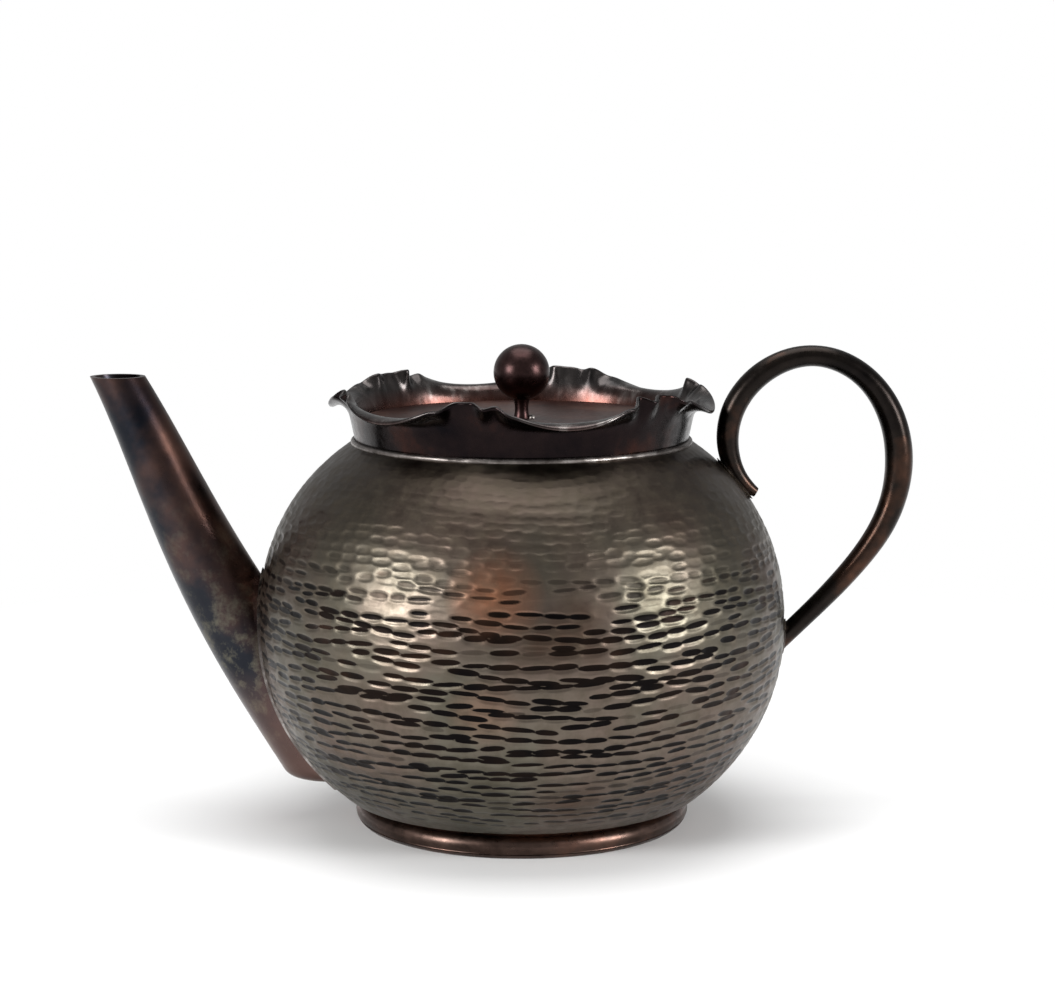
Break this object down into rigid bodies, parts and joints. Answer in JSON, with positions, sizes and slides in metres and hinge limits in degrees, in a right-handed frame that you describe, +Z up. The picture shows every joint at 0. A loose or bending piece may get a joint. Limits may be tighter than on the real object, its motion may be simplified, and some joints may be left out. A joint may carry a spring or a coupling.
{
  "type": "teapot",
  "caption": "Hammered copper teapot with a straight tapered spout, a hooked metal handle, a ruffled neck collar and a recessed lift-off lid with a ball knob.",
  "frame": {"origin": "centre of the foot ring's bottom plane, on the pot's axis", "axes": "+Z up, +X towards the handle, -X towards the spout, -Y towards the camera of the picture"},
  "size_m": [0.2051, 0.1314, 0.1201],
  "materials": {
    "bowl_copper": "hammered and burnished copper with dark patina in the hollows",
    "collar_copper": "near-black patinated copper, satin",
    "foot_copper": "dark red-brown patinated copper, polished",
    "spout_copper": "blue-black and red-brown patinated copper, polished",
    "handle_copper": "dark brown patinated copper, polished",
    "lid_copper": "red-brown patinated copper, satin",
    "knob_copper": "dark red-brown patinated copper, polished",
    "stud_copper": "plain copper, satin",
    "solder": "tarnished solder"
  },
  "bodies": {
    "pot": {"bowl": "bowl_copper", "base_disc": "bowl_copper", "collar": "collar_copper", "neck_seam": "solder", "lid_seat": "collar_copper", "foot_ring": "foot_copper", "spout": "spout_copper", "spout_seam": "solder", "handle": "handle_copper", "handle_tip_seam": "solder", "handle_root_seam": "solder"},
    "lid": {"lid_plate": "lid_copper", "lid_flange": "lid_copper", "knob_stem": "knob_copper", "knob_ball": "knob_copper", "knob_stud": "stud_copper", "knob_washer": "stud_copper", "knob_bead": "solder"}
  },
  "joints": [
    {"name": "lid_lift", "type": "slide", "parent": "pot", "child": "lid", "axis": [0, 0, 1], "range_m": [0, 0.05]}
  ]
}
